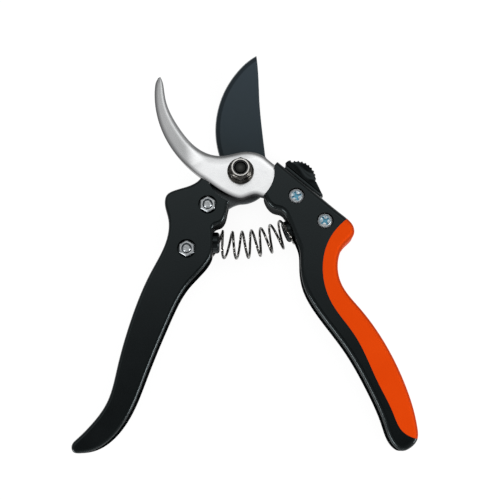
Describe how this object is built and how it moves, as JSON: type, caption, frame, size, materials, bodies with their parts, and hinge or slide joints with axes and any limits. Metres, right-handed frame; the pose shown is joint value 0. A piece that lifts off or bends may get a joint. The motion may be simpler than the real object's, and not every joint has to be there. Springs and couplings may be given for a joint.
{
  "type": "bypass pruning shears",
  "caption": "One-hand bypass pruning shears, held open by a coil spring, with a hooked counter blade, a sliding thumb lock and a soft inlay on the grip handle.",
  "frame": {"origin": "on the pivot axis, in the plane of the pivot bolt head's outer face, which is also the plane the tool rests on", "axes": "+Z out of the front face along the pivot axis, +Y towards the blade tip, +X towards the grip handle"},
  "size_m": [0.1607, 0.1961, 0.0202],
  "materials": {
    "satin_steel": "satin blasted and brushed steel",
    "coated_steel": "dark non-stick coating, semi-matt",
    "black_plastic": "fine-grained glass-filled nylon, satin",
    "orange_rubber": "soft moulded inlay, matt",
    "dark_fastener": "black nickel plate, worn bright on the edges",
    "zinc_fastener": "clear zinc plate",
    "nylon": "plain nylon",
    "spring_steel": "oiled spring wire"
  },
  "bodies": {
    "grip_half": {"counter_blade": "satin_steel", "pivot_bolt": "dark_fastener", "pivot_nut": "dark_fastener", "pivot_nut_insert": "nylon", "pivot_washer": "zinc_fastener", "right_handle_front": "black_plastic", "right_handle_back": "black_plastic", "right_grip": "orange_rubber", "right_screw_upper": "zinc_fastener", "right_screw_lower": "zinc_fastener", "right_nut_upper": "zinc_fastener", "right_nut_lower": "zinc_fastener", "spring_seat_right": "black_plastic", "main_spring": "spring_steel"},
    "blade_half": {"cutting_blade": "coated_steel", "left_handle_front": "black_plastic", "left_handle_back": "black_plastic", "left_screw_upper": "zinc_fastener", "left_screw_lower": "zinc_fastener", "left_nut_upper": "zinc_fastener", "left_nut_lower": "zinc_fastener", "spring_seat_left": "black_plastic"},
    "lock": {"lock_slide": "black_plastic"}
  },
  "joints": [
    {"name": "blade_pivot", "type": "hinge", "parent": "grip_half", "child": "blade_half", "pos_m": [0, 0, 0], "axis": [0, 0, 1], "range_deg": [0, 48], "stiffness_Nm_per_rad": 0.6, "springref_deg": -38.39, "deforming": ["main_spring"]},
    {"name": "lock_travel", "type": "slide", "parent": "grip_half", "child": "lock", "axis": [-0.7615, 0.6481, 0], "range_m": [0, 0.006]}
  ]
}
